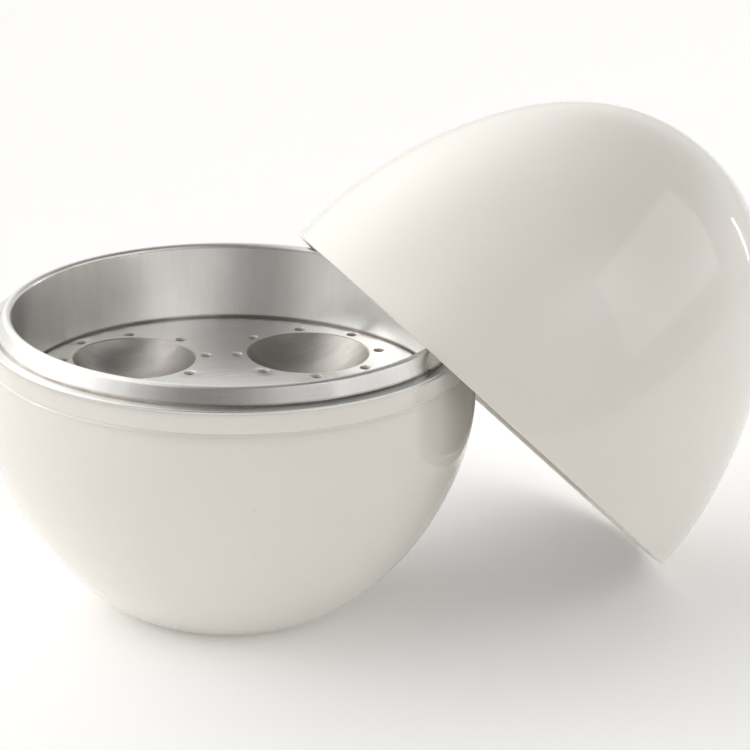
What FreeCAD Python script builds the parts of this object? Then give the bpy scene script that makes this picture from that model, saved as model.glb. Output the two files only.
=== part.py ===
import FreeCAD, Part
import bisect
import math
import os

import Sketcher

# Driving dimensions, in millimetres and degrees. Heights of the base pieces are measured from
# the table, heights of the lid pieces from the plane of the lid's own rim.
SIZES = {
    # lower egg half, moulded in plastic
    "foot_radius": 33.8,
    "foot_ring_width": 4.5,
    "foot_recess": 1.0,
    "shell_wall": 2.6,
    "belly_slope": 27.5,
    "belly_reach": 25.1,
    "shoulder_lean": 13.3,
    "shoulder_reach": 30.4,
    "shoulder_height": 77.6,
    "neck_radius": 71.8,
    "neck_height": 6.3,
    "neck_round": 0.6,
    # drawn aluminium bowl with a folded rim, seated on the neck
    "sheet": 0.8,
    "collar_height": 5.3,
    "rim_inset": 6.0,
    "rim_bend": 1.45,
    "collar_flare": 23.0,
    "flange_fillet": 1.0,
    "flange_overhang": 0.8,
    "flange_round": 0.35,
    "wall_taper": 4.0,
    "ledge_drop": 24.35,
    "ledge_width": 1.5,
    "ledge_round": 0.4,
    "bowl_straight": 4.9,
    "bowl_flat": 13.2,
    "bowl_lift": 8.4,
    # egg tray, a lift-out plate with four dishes
    "tray_sheet": 1.0,
    "tray_clearance": 0.3,
    "tray_edge_round": 0.3,
    "tray_turn": 32.5,
    "hole_edge_margin": 1.4,
    "seat_radius": 18.6,
    "seat_depth": 9.6,
    "seat_edge_round": 0.9,
    "hole_radius": 1.65,
    "hole_margin": 2.0,
    # upper egg half, moulded in plastic
    "lid_height": 103.1,
    "lid_wall": 2.4,
    "lid_rim_wall": 2.1,
    "lid_rim_round": 0.5,
    "lid_side_lean": 4.0,
    "lid_side_reach": 26.4,
    "lid_crown_reach": 56.7,
    "lid_fit": 0.4,
    # aluminium dome inside the upper half, snapped into a groove
    "dome_gap": 0.9,
    "dome_groove_bite": 0.5,
    "dome_fit": 0.1,
    # how the lid leans on the base with its rim on the table
    "lean_angle": 44.8,
    "lean_clearance": 0.1,
}
SEATS = 4
HOLES_PER_SEAT = 8
ROUND_PULL = 0.5523

doc = FreeCAD.newDocument("EggBoiler")
sheet = doc.addObject("Spreadsheet::Sheet", "Sizes")
for row, (alias, number) in enumerate(SIZES.items(), start=1):
    sheet.set(f"A{row}", alias)
    sheet.set(f"B{row}", str(number))
    sheet.setAlias(f"B{row}", alias)
doc.recompute()


class Size:
    """A length or angle that carries its number and the sheet formula that gives it."""

    def __init__(self, number, formula):
        self.number = number
        self.formula = formula

    def __add__(self, other):
        other = as_size(other)
        return Size(self.number + other.number, f"({self.formula} + {other.formula})")

    def __sub__(self, other):
        other = as_size(other)
        return Size(self.number - other.number, f"({self.formula} - {other.formula})")

    def __mul__(self, other):
        other = as_size(other)
        return Size(self.number * other.number, f"({self.formula} * {other.formula})")

    def __truediv__(self, other):
        other = as_size(other)
        return Size(self.number / other.number, f"({self.formula} / {other.formula})")


def as_size(value):
    return value if isinstance(value, Size) else Size(float(value), str(value))


def size(alias):
    return Size(sheet.get(alias), f"Sizes.{alias}")


def root(value):
    return Size(math.sqrt(value.number), f"sqrt({value.formula})")


def sine(angle):
    return Size(math.sin(math.radians(angle.number)), f"sin({angle.formula} * 1 deg)")


def cosine(angle):
    return Size(math.cos(math.radians(angle.number)), f"cos({angle.formula} * 1 deg)")


def tangent(angle):
    return sine(angle) / cosine(angle)


ZERO = as_size(0)


def new_body(label):
    body = doc.addObject("PartDesign::Body", label)
    body.Label = label
    return body


def new_sketch(body, name, plane_role):
    sketch = body.newObject("Sketcher::SketchObject", name)
    planes = [f for f in body.Origin.OriginFeatures if f.Role == plane_role]
    sketch.AttachmentSupport = [(planes[0], "")]
    sketch.MapMode = "FlatFace"
    return sketch


def pin_point(sketch, geometry, position, point):
    """Ties one sketch point to the two sheet formulas that place it."""
    for kind, coordinate in (("DistanceX", point[0]), ("DistanceY", point[1])):
        index = sketch.addConstraint(
            Sketcher.Constraint(kind, -1, 1, geometry, position, coordinate.number)
        )
        sketch.setExpression(f"Constraints[{index}]", coordinate.formula)


def vector(point):
    return FreeCAD.Vector(point[0].number, point[1].number, 0)


def arc_between(start, end, radius, turns_left):
    """The arc of under half a turn from start to end, and which of its ends is the start."""
    first, last = vector(start), vector(end)
    chord = last - first
    half = chord.Length / 2
    rise = math.sqrt(max(radius.number ** 2 - half ** 2, 0.0))
    normal = FreeCAD.Vector(-chord.y, chord.x, 0).normalize()
    side = 1 if turns_left else -1
    centre = (first + last) * 0.5 + normal * (rise * side)
    a, b = (first, last) if turns_left else (last, first)
    start_angle = math.atan2(a.y - centre.y, a.x - centre.x)
    end_angle = math.atan2(b.y - centre.y, b.x - centre.x)
    circle = Part.Circle(centre, FreeCAD.Vector(0, 0, 1), radius.number)
    return Part.ArcOfCircle(circle, start_angle, end_angle), (1, 2) if turns_left else (2, 1)


def draw_outline(sketch, start, steps):
    """Draws a closed outline. A step is (kind, end point, what the kind needs)."""
    ends = []
    here = start
    for kind, there, *detail in steps:
        if kind == "line":
            index = sketch.addGeometry(Part.LineSegment(vector(here), vector(there)), False)
            tips = (1, 2)
        elif kind == "arc":
            radius, turns_left = detail
            arc, tips = arc_between(here, there, radius, turns_left)
            index = sketch.addGeometry(arc, False)
            tie = sketch.addConstraint(Sketcher.Constraint("Radius", index, radius.number))
            sketch.setExpression(f"Constraints[{tie}]", radius.formula)
        else:
            curve = Part.BSplineCurve()
            poles = [vector(p) for p in (here, *detail, there)]
            curve.buildFromPolesMultsKnots(poles, [4, 4], [0, 1], False, 3)
            index = sketch.addGeometry(curve, False)
            sketch.exposeInternalGeometry(index)
            tips = (1, 2)
            pin_point(sketch, index + 2, 3, detail[0])
            pin_point(sketch, index + 3, 3, detail[1])
        pin_point(sketch, index, tips[0], here)
        ends.append((index, tips))
        here = there
    for (index, tips), (following, following_tips) in zip(ends, ends[1:] + ends[:1]):
        sketch.addConstraint(
            Sketcher.Constraint("Coincident", index, tips[1], following, following_tips[0])
        )
    return sketch


def turn(body, name, start, steps, feature="Revolution", axis_at=None):
    """Turns an outline, drawn as radius and height, about the body's axis or a parallel one."""
    sketch = new_sketch(body, name + "Outline", "XZ_Plane")
    axis = "V_Axis"
    if axis_at is not None:
        foot = FreeCAD.Vector(axis_at.number, 0, 0)
        top = FreeCAD.Vector(axis_at.number, 1, 0)
        line = sketch.addGeometry(Part.LineSegment(foot, top), True)
        pin_point(sketch, line, 1, (axis_at, ZERO))
        pin_point(sketch, line, 2, (axis_at, as_size(1)))
        axis = "Axis0"
    draw_outline(sketch, start, steps)
    turned = body.newObject("PartDesign::" + feature, name)
    turned.Profile = sketch
    turned.ReferenceAxis = (sketch, [axis])
    turned.Angle = 360
    doc.recompute()
    return turned


def repeat_about_axis(body, name, features, copies):
    pattern = body.newObject("PartDesign::PolarPattern", name)
    pattern.Originals = features
    z_axis = [f for f in body.Origin.OriginFeatures if f.Role == "Z_Axis"][0]
    pattern.Axis = (z_axis, [""])
    pattern.Angle = 360
    pattern.Occurrences = copies
    body.Tip = pattern
    doc.recompute()
    return pattern


# Places shared by more than one piece
neck_top = size("shoulder_height") + size("neck_height")
flange_top = neck_top + size("sheet")
flange_radius = size("neck_radius") + size("flange_overhang")
rim_height = flange_top + size("collar_height")
rim_ring_radius = size("neck_radius") - size("rim_inset")
ledge_height = rim_height - size("ledge_drop")
bend_height = rim_height - size("rim_bend")
shell_floor_top = size("foot_recess") + size("shell_wall")
taper = size("wall_taper")
wall_tangent_radius = rim_ring_radius - size("rim_bend") * cosine(taper)
wall_tangent_height = bend_height + size("rim_bend") * sine(taper)
wall_foot = wall_tangent_radius - (wall_tangent_height - ledge_height) * tangent(taper)
bore_radius = flange_radius + size("lid_fit")
lid_rim_radius = bore_radius + size("lid_rim_wall")
dome_seat = flange_top - size("shoulder_height")


def direction(start, end):
    """Unit vector from one point to another."""
    across = end[0] - start[0]
    up = end[1] - start[1]
    length = root(across * across + up * up)
    return across / length, up / length


def inset_corner(before, corner, after, distance):
    """A corner moved to the left of travel, by the same distance from both of its sides."""
    arriving = direction(before, corner)
    leaving = direction(corner, after)
    scale = distance / (arriving[0] * leaving[0] + arriving[1] * leaving[1] + 1)
    return (
        corner[0] - (arriving[1] + leaving[1]) * scale,
        corner[1] + (arriving[0] + leaving[0]) * scale,
    )


def share_below(rise, start_height, first_height, second_height):
    """Share of a curve that lies in the first rise of it, to second order."""
    first = first_height - start_height
    share = rise / (first * 3)
    return share / (share * (second_height - first_height - first) / first + 1)


def rest_of_curve(share, first_pull, second_pull, end):
    """Pull points of what is left of a curve when its first share is cut off."""
    kept = as_size(1) - share
    first = tuple(
        kept * kept * a + share * kept * b * 2 + share * share * c
        for a, b, c in zip(first_pull, second_pull, end)
    )
    second = tuple(kept * b + share * c for b, c in zip(second_pull, end))
    return first, second


def belly_pulls():
    """The two points that pull the lower half's outside from the foot to the neck."""
    slope = size("belly_slope")
    lean = size("shoulder_lean")
    return (
        (
            size("foot_radius") + size("belly_reach") * cosine(slope),
            size("belly_reach") * sine(slope),
        ),
        (
            size("neck_radius") + size("shoulder_reach") * sine(lean),
            size("shoulder_height") - size("shoulder_reach") * cosine(lean),
        ),
    )


def make_base_shell():
    """Lower egg half: foot ring, belly drawn as one curve, soft shoulder and straight neck."""
    foot = size("foot_radius")
    ring_inner = foot - size("foot_ring_width")
    recess = size("foot_recess")
    wall = size("shell_wall")
    slope = size("belly_slope")
    neck = size("neck_radius")
    shoulder = size("shoulder_height")
    start, end = (foot, ZERO), (neck, shoulder)
    belly_pull, shoulder_pull = belly_pulls()
    floor_rise = shell_floor_top - wall * cosine(slope)
    floor_edge = foot - wall * sine(slope) + floor_rise / tangent(slope)
    share = share_below(floor_rise, ZERO, belly_pull[1], shoulder_pull[1])
    inner_belly_pull, inner_shoulder_pull = rest_of_curve(
        share,
        inset_corner(start, belly_pull, shoulder_pull, wall),
        inset_corner(belly_pull, shoulder_pull, end, wall),
        (neck - wall, shoulder),
    )
    soft = size("neck_round")
    body = new_body("base_shell")
    turn(body, "Shell", (ZERO, recess), [
        ("line", (ring_inner, recess)),
        ("line", (ring_inner, ZERO)),
        ("line", (foot, ZERO)),
        ("curve", (neck, shoulder), belly_pull, shoulder_pull),
        ("line", (neck, neck_top - soft)),
        ("arc", (neck - soft, neck_top), soft, True),
        ("line", (neck - wall, neck_top)),
        ("line", (neck - wall, shoulder)),
        ("curve", (floor_edge, shell_floor_top), inner_shoulder_pull, inner_belly_pull),
        ("line", (ZERO, shell_floor_top)),
        ("line", (ZERO, recess)),
    ])
    return body


def make_base_liner():
    """Drawn bowl: flat floor, round corner, tray ledge, tapered wall, folded rim and flange."""
    metal = size("sheet")
    bend = size("rim_bend")
    ring = rim_ring_radius
    inner_bend = bend - metal
    flare = size("collar_flare")
    fillet = size("flange_fillet")
    soft = size("ledge_round")
    edge = size("flange_round")
    floor_under = shell_floor_top + size("bowl_lift")
    floor = floor_under + metal
    flat = size("bowl_flat")
    bowl_radius = wall_foot - size("ledge_width")
    bowl_outside = bowl_radius + metal
    corner_top = ledge_height - size("bowl_straight")
    taper_cos, taper_sin, taper_tan = cosine(taper), sine(taper), tangent(taper)
    flare_cos, flare_sin, flare_tan = cosine(flare), sine(flare), tangent(flare)
    collar_head = (ring + bend * flare_cos, bend_height + bend * flare_sin)
    collar_foot_height = flange_top + fillet - fillet * flare_sin
    collar_foot = (
        collar_head[0] + (collar_head[1] - collar_foot_height) * flare_tan,
        collar_foot_height,
    )
    fillet_radius_place = collar_foot[0] + fillet * flare_cos
    outer_fillet = fillet + metal
    under_fillet = (
        fillet_radius_place - outer_fillet * flare_cos,
        flange_top + fillet - outer_fillet * flare_sin,
    )
    wall_back_top = (ring - inner_bend * taper_cos, bend_height + inner_bend * taper_sin)
    ledge_under = ledge_height - metal
    wall_back_foot = wall_back_top[0] - (wall_back_top[1] - ledge_under) * taper_tan
    body = new_body("base_liner")
    turn(body, "Bowl", (ZERO, floor), [
        ("line", (flat, floor)),
        (
            "curve",
            (bowl_radius, corner_top),
            (flat + (bowl_radius - flat) * ROUND_PULL, floor),
            (bowl_radius, corner_top - (corner_top - floor) * ROUND_PULL),
        ),
        ("line", (bowl_radius, ledge_height - soft)),
        ("arc", (bowl_radius + soft, ledge_height), soft, False),
        ("line", (wall_foot - soft, ledge_height)),
        ("arc", (wall_foot + soft * taper_tan, ledge_height + soft), soft, True),
        ("line", (wall_tangent_radius, wall_tangent_height)),
        ("arc", (ring, rim_height), bend, False),
        ("arc", collar_head, bend, False),
        ("line", collar_foot),
        ("arc", (fillet_radius_place, flange_top), fillet, True),
        ("line", (flange_radius - edge, flange_top)),
        ("arc", (flange_radius, flange_top - edge), edge, False),
        ("line", (flange_radius, neck_top)),
        ("line", (fillet_radius_place, neck_top)),
        ("arc", under_fillet, outer_fillet, False),
        ("line", (ring + inner_bend * flare_cos, bend_height + inner_bend * flare_sin)),
        ("arc", (ring, bend_height + inner_bend), inner_bend, True),
        ("arc", wall_back_top, inner_bend, True),
        ("line", (wall_back_foot, ledge_under)),
        ("line", (bowl_outside, ledge_under)),
        ("line", (bowl_outside, corner_top)),
        (
            "curve",
            (flat, floor_under),
            (bowl_outside, corner_top - (corner_top - floor_under) * ROUND_PULL),
            (flat + (bowl_outside - flat) * ROUND_PULL, floor_under),
        ),
        ("line", (ZERO, floor_under)),
        ("line", (ZERO, floor)),
    ])
    return body


def make_egg_tray():
    """Lift-out plate: four round-bottomed dishes, each ringed by small round water holes."""
    metal = size("tray_sheet")
    under = ledge_height
    top = ledge_height + metal
    radius = wall_foot - size("tray_clearance")
    soft = size("tray_edge_round")
    body = new_body("egg_tray")
    turn(body, "Plate", (ZERO, under), [
        ("line", (radius - soft, under)),
        ("arc", (radius, under + soft), soft, True),
        ("line", (radius, top - soft)),
        ("arc", (radius - soft, top), soft, True),
        ("line", (ZERO, top)),
        ("line", (ZERO, under)),
    ])
    reach = size("seat_radius")
    depth = size("seat_depth")
    edge = size("seat_edge_round")
    sphere = (reach * reach + depth * depth) / (depth * 2)
    rolled = root(
        (sphere + edge) * (sphere + edge) - (sphere - depth + edge) * (sphere - depth + edge)
    )
    ring = rolled - edge + size("hole_margin") + size("hole_radius")
    place = radius - size("hole_edge_margin") - size("hole_radius") - ring
    outer = sphere + metal
    centre_height = top - depth + sphere
    skirt = root(outer * outer - (centre_height - under) * (centre_height - under))
    dish = turn(body, "DishOutside", (place, under), [
        ("line", (place, top - depth - metal)),
        ("arc", (place + skirt, under), outer, True),
        ("line", (place, under)),
    ], axis_at=place)
    share = sphere / (sphere + edge)
    lip = (place + rolled * share, centre_height - (sphere - depth + edge) * share)
    hollow = turn(body, "DishInside", (place, top), [
        ("line", (place, top - depth)),
        ("arc", lip, sphere, True),
        ("arc", (place + rolled, top), edge, False),
        ("line", (place, top)),
    ], feature="Groove", axis_at=place)
    repeat_about_axis(body, "Dishes", [dish, hollow], SEATS)
    holes = new_sketch(body, "HoleCircles", "XY_Plane")
    for number in range(HOLES_PER_SEAT):
        angle = as_size(360 * number / HOLES_PER_SEAT)
        middle = (place + ring * cosine(angle), ring * sine(angle))
        circle = Part.Circle(vector(middle), FreeCAD.Vector(0, 0, 1), size("hole_radius").number)
        index = holes.addGeometry(circle, False)
        pin_point(holes, index, 3, middle)
        tie = holes.addConstraint(Sketcher.Constraint("Radius", index, size("hole_radius").number))
        holes.setExpression(f"Constraints[{tie}]", size("hole_radius").formula)
    drilled = body.newObject("PartDesign::Pocket", "Holes")
    drilled.Profile = holes
    drilled.Type = "ThroughAll"
    drilled.Midplane = True
    doc.recompute()
    repeat_about_axis(body, "HoleRings", [drilled], SEATS)
    turned = FreeCAD.Rotation(FreeCAD.Vector(0, 0, 1), size("tray_turn").number)
    body.Placement = FreeCAD.Placement(FreeCAD.Vector(0, 0, 0), turned)
    return body


def lid_curve():
    """The lid's egg curve: rim edge, side pull, crown pull and top."""
    lean = size("lid_side_lean")
    reach = size("lid_side_reach")
    height = size("lid_height")
    return (
        (lid_rim_radius, ZERO),
        (lid_rim_radius + reach * sine(lean), reach * cosine(lean)),
        (size("lid_crown_reach"), height),
        (ZERO, height),
    )


def lid_curve_inside(inset, above):
    """Pull points, from the top down, of the egg curve moved in evenly and cut off low down."""
    rim, side, crown, top = lid_curve()
    share = share_below(above, ZERO, side[1], crown[1])
    side_pull, crown_pull = rest_of_curve(
        share,
        inset_corner(rim, side, crown, inset),
        inset_corner(side, crown, top, inset),
        (ZERO, top[1] - inset),
    )
    return crown_pull, side_pull


def make_lid_shell():
    """Upper egg half with a thinner rim that slips over the neck, grooved for the dome."""
    height = size("lid_height")
    wall = size("lid_wall")
    soft = size("lid_rim_round")
    groove_low = dome_seat
    groove_high = dome_seat + size("sheet") + size("dome_fit")
    groove_radius = bore_radius + size("dome_groove_bite")
    _, side, crown, top = lid_curve()
    body = new_body("lid_shell")
    turn(body, "Crown", (bore_radius + soft, ZERO), [
        ("line", (lid_rim_radius - soft, ZERO)),
        ("arc", (lid_rim_radius, soft), soft, True),
        ("curve", top, side, crown),
        ("line", (ZERO, height - wall)),
        ("curve", (lid_rim_radius - wall, groove_high), *lid_curve_inside(wall, groove_high)),
        ("line", (groove_radius, groove_high)),
        ("line", (groove_radius, groove_low)),
        ("line", (bore_radius, groove_low)),
        ("line", (bore_radius, soft)),
        ("arc", (bore_radius + soft, ZERO), soft, True),
    ])
    return body


def make_lid_liner():
    """Drawn dome that follows the inside of the lid; its flange meets the base's flange."""
    metal = size("sheet")
    inset = size("lid_wall") + size("dome_gap")
    fillet = size("flange_fillet")
    flange = bore_radius + size("dome_groove_bite") - size("dome_fit")
    mouth = lid_rim_radius - inset
    low = dome_seat
    high = dome_seat + metal
    bend = high + fillet
    peak = size("lid_height") - inset
    inner_crown, inner_side = lid_curve_inside(inset + metal, bend)
    outer_crown, outer_side = lid_curve_inside(inset, bend)
    body = new_body("lid_liner")
    turn(body, "Dome", (mouth - metal + fillet, low), [
        ("line", (flange, low)),
        ("line", (flange, high)),
        ("line", (mouth + fillet, high)),
        ("arc", (mouth, bend), fillet, False),
        ("curve", (ZERO, peak), outer_side, outer_crown),
        ("line", (ZERO, peak - metal)),
        ("curve", (mouth - metal, bend), inner_crown, inner_side),
        ("line", (mouth - metal, low + fillet)),
        ("arc", (mouth - metal + fillet, low), fillet, True),
    ])
    return body


def curve_points(start, first_pull, second_pull, end, steps):
    """Points along a curve, as plain numbers."""
    places = []
    for step in range(steps + 1):
        share = step / steps
        rest = 1 - share
        weights = (rest ** 3, 3 * rest ** 2 * share, 3 * rest * share ** 2, share ** 3)
        poles = (start, first_pull, second_pull, end)
        places.append(tuple(
            sum(weight * pole[axis].number for weight, pole in zip(weights, poles))
            for axis in (0, 1)
        ))
    return places


def base_outside():
    """Radius and height of the base's outside, from the table to the flange."""
    belly_pull, shoulder_pull = belly_pulls()
    belly = curve_points(
        (size("foot_radius"), ZERO),
        belly_pull,
        shoulder_pull,
        (size("neck_radius"), size("shoulder_height")),
        steps=120,
    )
    return belly + [(flange_radius.number, neck_top.number), (flange_radius.number, flange_top.number)]


def lid_inside():
    """Radius, height and roundness of circles that line the lid: its rim edge, bore and dome."""
    soft = size("lid_rim_round")
    inset = size("lid_wall") + size("dome_gap") + size("sheet")
    bend = dome_seat + size("sheet") + size("flange_fillet")
    crown_pull, side_pull = lid_curve_inside(inset, bend)
    dome = curve_points(
        (lid_rim_radius - inset, bend),
        side_pull,
        crown_pull,
        (ZERO, size("lid_height") - inset),
        steps=12,
    )
    edge = (bore_radius.number + soft.number, soft.number, soft.number)
    bore = (bore_radius.number, dome_seat.number, 0.0)
    return [edge, bore] + [(radius, height, 0.0) for radius, height in dome]


def lean_room(stand_off, outside, circles):
    """Least room between the base and the lid when its rim centre stands off by a distance."""
    angle = math.radians(size("lean_angle").number)
    ring_radius, ring_height = rim_ring_radius.number, bend_height.number
    ring_bend, top = size("rim_bend").number, flange_top.number
    levels = [height for _, height in outside]
    least = math.inf
    for radius, rise, soft in circles:
        for step in range(181):
            around = math.radians(step)
            reach = radius * math.cos(around)
            across = stand_off - reach * math.cos(angle) + rise * math.sin(angle)
            away = math.hypot(across, radius * math.sin(around))
            height = lid_centre_height() + reach * math.sin(angle) + rise * math.cos(angle)
            room = math.hypot(away - ring_radius, height - ring_height) - ring_bend
            if 0 <= height < top:
                above = bisect.bisect_right(levels, height)
                room = min(room, away - outside[above][0])
            least = min(least, room - soft)
    return least


def lid_centre_height():
    """Height of the middle of the lid's rim when the rounded rim just touches the table."""
    angle = math.radians(size("lean_angle").number)
    soft = size("lid_rim_round").number
    reach = lid_rim_radius.number - soft
    return reach * math.sin(angle) - soft * math.cos(angle) + soft


def lean_distance():
    """How far the lid's rim stands off, so that its inside rests on the outside of the base."""
    outside, circles = base_outside(), lid_inside()
    near, far = 0.0, 3 * lid_rim_radius.number
    for _ in range(40):
        middle = (near + far) / 2
        if lean_room(middle, outside, circles) < size("lean_clearance").number:
            near = middle
        else:
            far = middle
    return far


def lean_lid(body):
    """Tips a lid piece, built upright over the axis, to rest against the base."""
    tip = FreeCAD.Rotation(FreeCAD.Vector(0, 1, 0), size("lean_angle").number)
    rim_centre = FreeCAD.Vector(lean_distance(), 0, lid_centre_height())
    body.Placement = FreeCAD.Placement(rim_centre, tip)


pieces = [make_base_shell(), make_base_liner(), make_egg_tray(), make_lid_shell(), make_lid_liner()]
lean_lid(pieces[3])
lean_lid(pieces[4])
doc.recompute()

for item in doc.Objects:
    if "Invalid" in item.State or "Error" in item.State:
        raise RuntimeError(f"{item.Label} did not build: {item.State}")
for piece in pieces:
    if piece.Shape.isNull() or not piece.Shape.isValid() or len(piece.Shape.Solids) != 1:
        raise RuntimeError(f"{piece.Label} is not one valid solid")

os.makedirs("parts", exist_ok=True)
for piece in pieces:
    piece.Shape.exportStep(f"parts/{piece.Label}.step")
    print(piece.Label, round(piece.Shape.Volume, 1), piece.Shape.BoundBox)
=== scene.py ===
import logging
import math
from dataclasses import dataclass
from enum import Enum
from typing import Callable, Sequence

import bmesh
import bpy
from bpy.types import Material, Node, NodeSocket, NodeTree, Object, World
from mathutils import Matrix, Vector, geometry, noise


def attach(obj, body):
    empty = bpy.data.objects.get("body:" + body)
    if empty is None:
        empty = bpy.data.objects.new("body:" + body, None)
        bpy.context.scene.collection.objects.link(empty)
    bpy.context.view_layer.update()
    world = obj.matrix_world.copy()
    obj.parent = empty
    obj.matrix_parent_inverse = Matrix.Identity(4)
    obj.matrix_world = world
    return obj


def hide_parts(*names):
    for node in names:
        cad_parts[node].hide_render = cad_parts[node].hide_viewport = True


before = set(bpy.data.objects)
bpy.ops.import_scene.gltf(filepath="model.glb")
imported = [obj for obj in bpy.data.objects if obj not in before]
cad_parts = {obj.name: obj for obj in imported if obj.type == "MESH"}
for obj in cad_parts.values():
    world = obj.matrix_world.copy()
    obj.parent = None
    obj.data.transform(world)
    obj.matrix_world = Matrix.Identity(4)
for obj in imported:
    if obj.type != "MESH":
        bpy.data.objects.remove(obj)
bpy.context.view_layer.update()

log = logging.getLogger("egg_boiler")

MM = 0.001
ROOT_BODY = "root"
ON_AXIS = 1e-6
SAME_PLACE = 1e-5
QUARTER_PULL = 0.5523
ORIGIN = Vector((0.0, 0.0))
SHARP_EDGE = math.radians(40)
LINES_PER_METRE = 1600.0
TRAY_PLAY = 0.3
SEAT_CHORD = 0.9995
HOLE_CHORD = 0.995
VIEW_TURN = 20.65

Point = tuple[float, float]
Triple = tuple[float, float, float]
Colour = tuple[float, float, float, float]
Wobble = Callable[[float, float, float], float]


# Shapes


class Outline:
    """Cross-section of a turned piece, grown point by point as (radius, height) in millimetres."""

    def __init__(self, radius: float, height: float) -> None:
        """Starts the outline at a distance from the axis and a height."""
        self.points: list[Point] = [(radius, height)]

    @property
    def here(self) -> Point:
        """The last point drawn."""
        return self.points[-1]

    def line(self, radius: float, height: float, steps: int = 1) -> None:
        """Draws a straight stretch.

        Args:
            radius: distance of its end from the axis.
            height: height of its end.
            steps: number of facets along it.
        """
        x, y = self.here
        for share in (step / steps for step in range(1, steps + 1)):
            self.points.append((x + (radius - x) * share, y + (height - y) * share))

    def arc(self, radius: float, height: float, bend: float, left: bool, steps: int = 8) -> None:
        """Draws an arc of less than half a turn.

        Args:
            radius: distance of its end from the axis.
            height: height of its end.
            bend: radius of the arc.
            left: whether it turns left as the outline travels.
            steps: number of facets along it.
        """
        first = Vector(self.here)
        last = Vector((radius, height))
        chord = last - first
        half = chord.length / 2
        rise = math.sqrt(max(bend * bend - half * half, 0.0))
        normal = Vector((-chord.y, chord.x)).normalized()
        centre = (first + last) / 2 + normal * (rise if left else -rise)
        begin = math.atan2(first.y - centre.y, first.x - centre.x)
        sweep = (math.atan2(last.y - centre.y, last.x - centre.x) - begin) % math.tau
        if not left:
            sweep -= math.tau
        self.points.extend(around(centre, bend, begin + sweep * n / steps) for n in range(1, steps))
        self.points.append((radius, height))

    def curve(self, pulls: Sequence[Point], end: Point, steps: int) -> None:
        """Draws a smooth curve to an end, in steps, with two points that pull it."""
        poles = [self.here, *pulls, end]
        self.points.extend(bezier(poles, step / steps) for step in range(1, steps + 1))


def around(middle: Sequence[float], reach: float, angle: float) -> Point:
    """Finds the point at a distance and an angle from a middle."""
    return middle[0] + reach * math.cos(angle), middle[1] + reach * math.sin(angle)


def bezier(poles: Sequence[Point], share: float) -> Point:
    """Finds a point of a cubic curve.

    Args:
        poles: its start, two pull points and end.
        share: 0 at the start, 1 at the end.

    Returns:
        The point.
    """
    rest = 1 - share
    weights = (rest ** 3, 3 * rest ** 2 * share, 3 * rest * share ** 2, share ** 3)
    return (
        sum(w * p[0] for w, p in zip(weights, poles)),
        sum(w * p[1] for w, p in zip(weights, poles)),
    )


def inset_poles(poles: Sequence[Point], distance: float) -> list[Point]:
    """Moves a curve's poles to the left of travel by an even distance.

    Args:
        poles: its start, two pull points and end.
        distance: how far the curve moves.

    Returns:
        The moved poles.
    """
    legs = [Vector(b) - Vector(a) for a, b in zip(poles, poles[1:])]
    lefts = [Vector((-leg.y, leg.x)).normalized() for leg in legs]
    moved = [Vector(poles[0]) + lefts[0] * distance]
    for pole, before, after in zip(poles[1:], lefts, lefts[1:]):
        moved.append(Vector(pole) + (before + after) * (distance / (1 + before.dot(after))))
    moved.append(Vector(poles[-1]) + lefts[-1] * distance)
    return [(p.x, p.y) for p in moved]


def poles_above(poles: Sequence[Point], height: float) -> list[Point]:
    """Cuts off the part of a rising curve below a height.

    Args:
        poles: its start, two pull points and end.
        height: where the kept part starts.

    Returns:
        The poles of the kept part.
    """
    low, high = 0.0, 1.0
    for _ in range(40):
        middle = (low + high) / 2
        if bezier(poles, middle)[1] < height:
            low = middle
        else:
            high = middle
    points = [Vector(p) for p in poles]
    kept = [points[3]]
    for _ in range(3):
        points = [a.lerp(b, low) for a, b in zip(points, points[1:])]
        kept.append(points[-1])
    return [(p.x, p.y) for p in reversed(kept)]


def new_object(name: str, verts: Sequence[Vector], faces: Sequence[Sequence[int]]) -> Object:
    """Makes a smooth-shaded mesh object with its normals outward.

    Args:
        name: name of the piece.
        verts: corners, in metres.
        faces: corner numbers of each face.

    Returns:
        The object.
    """
    mesh = bpy.data.meshes.new(name)
    mesh.from_pydata([tuple(v) for v in verts], [], [list(f) for f in faces])
    work = bmesh.new()
    work.from_mesh(mesh)
    bmesh.ops.recalc_face_normals(work, faces=work.faces)
    work.to_mesh(mesh)
    work.free()
    mesh.polygons.foreach_set("use_smooth", [True] * len(mesh.polygons))
    mesh.set_sharp_from_angle(angle=SHARP_EDGE)
    mesh.update()
    piece = bpy.data.objects.new(name, mesh)
    bpy.context.scene.collection.objects.link(piece)
    return piece


@dataclass(frozen=True)
class Stance:
    """How a turned piece stands: a point of its axis in millimetres and its lean in degrees."""

    centre: Triple = (0.0, 0.0, 0.0)
    lean: float = 0.0

    def matrix(self) -> Matrix:
        """The move that takes a piece on the upright axis to its place, in metres."""
        return Matrix.Translation(Vector(self.centre) * MM) @ Matrix.Rotation(
            math.radians(self.lean), 4, "Y"
        )


UPRIGHT = Stance()


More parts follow.
